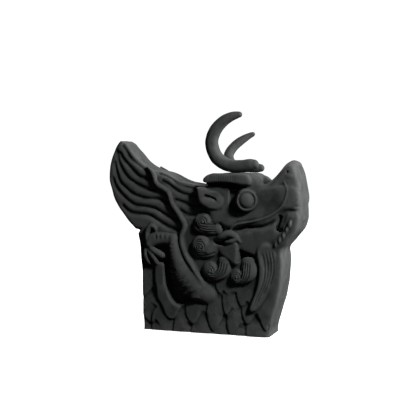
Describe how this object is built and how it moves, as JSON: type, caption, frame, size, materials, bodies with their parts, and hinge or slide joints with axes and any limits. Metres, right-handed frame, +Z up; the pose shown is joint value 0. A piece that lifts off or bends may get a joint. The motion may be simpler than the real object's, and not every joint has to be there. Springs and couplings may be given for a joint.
{
  "type": "ridge beast ornament",
  "caption": "Roof-ridge dragon head of dark grey fired clay with a swept mane, upturned snout, raised foreleg and two loose curved horns.",
  "frame": {"origin": "middle of the flat underside of the base block", "axes": "+Z up, +X towards the snout, -Y the flank with the larger horn"},
  "size_m": [0.3554, 0.114, 0.3845],
  "materials": {
    "grey_clay": "matte unglazed dark grey fired clay, fine grain, slight green-blue cast"
  },
  "bodies": {
    "root": {"body": "grey_clay", "horn_right": "grey_clay", "horn_left": "grey_clay"}
  },
  "joints": []
}
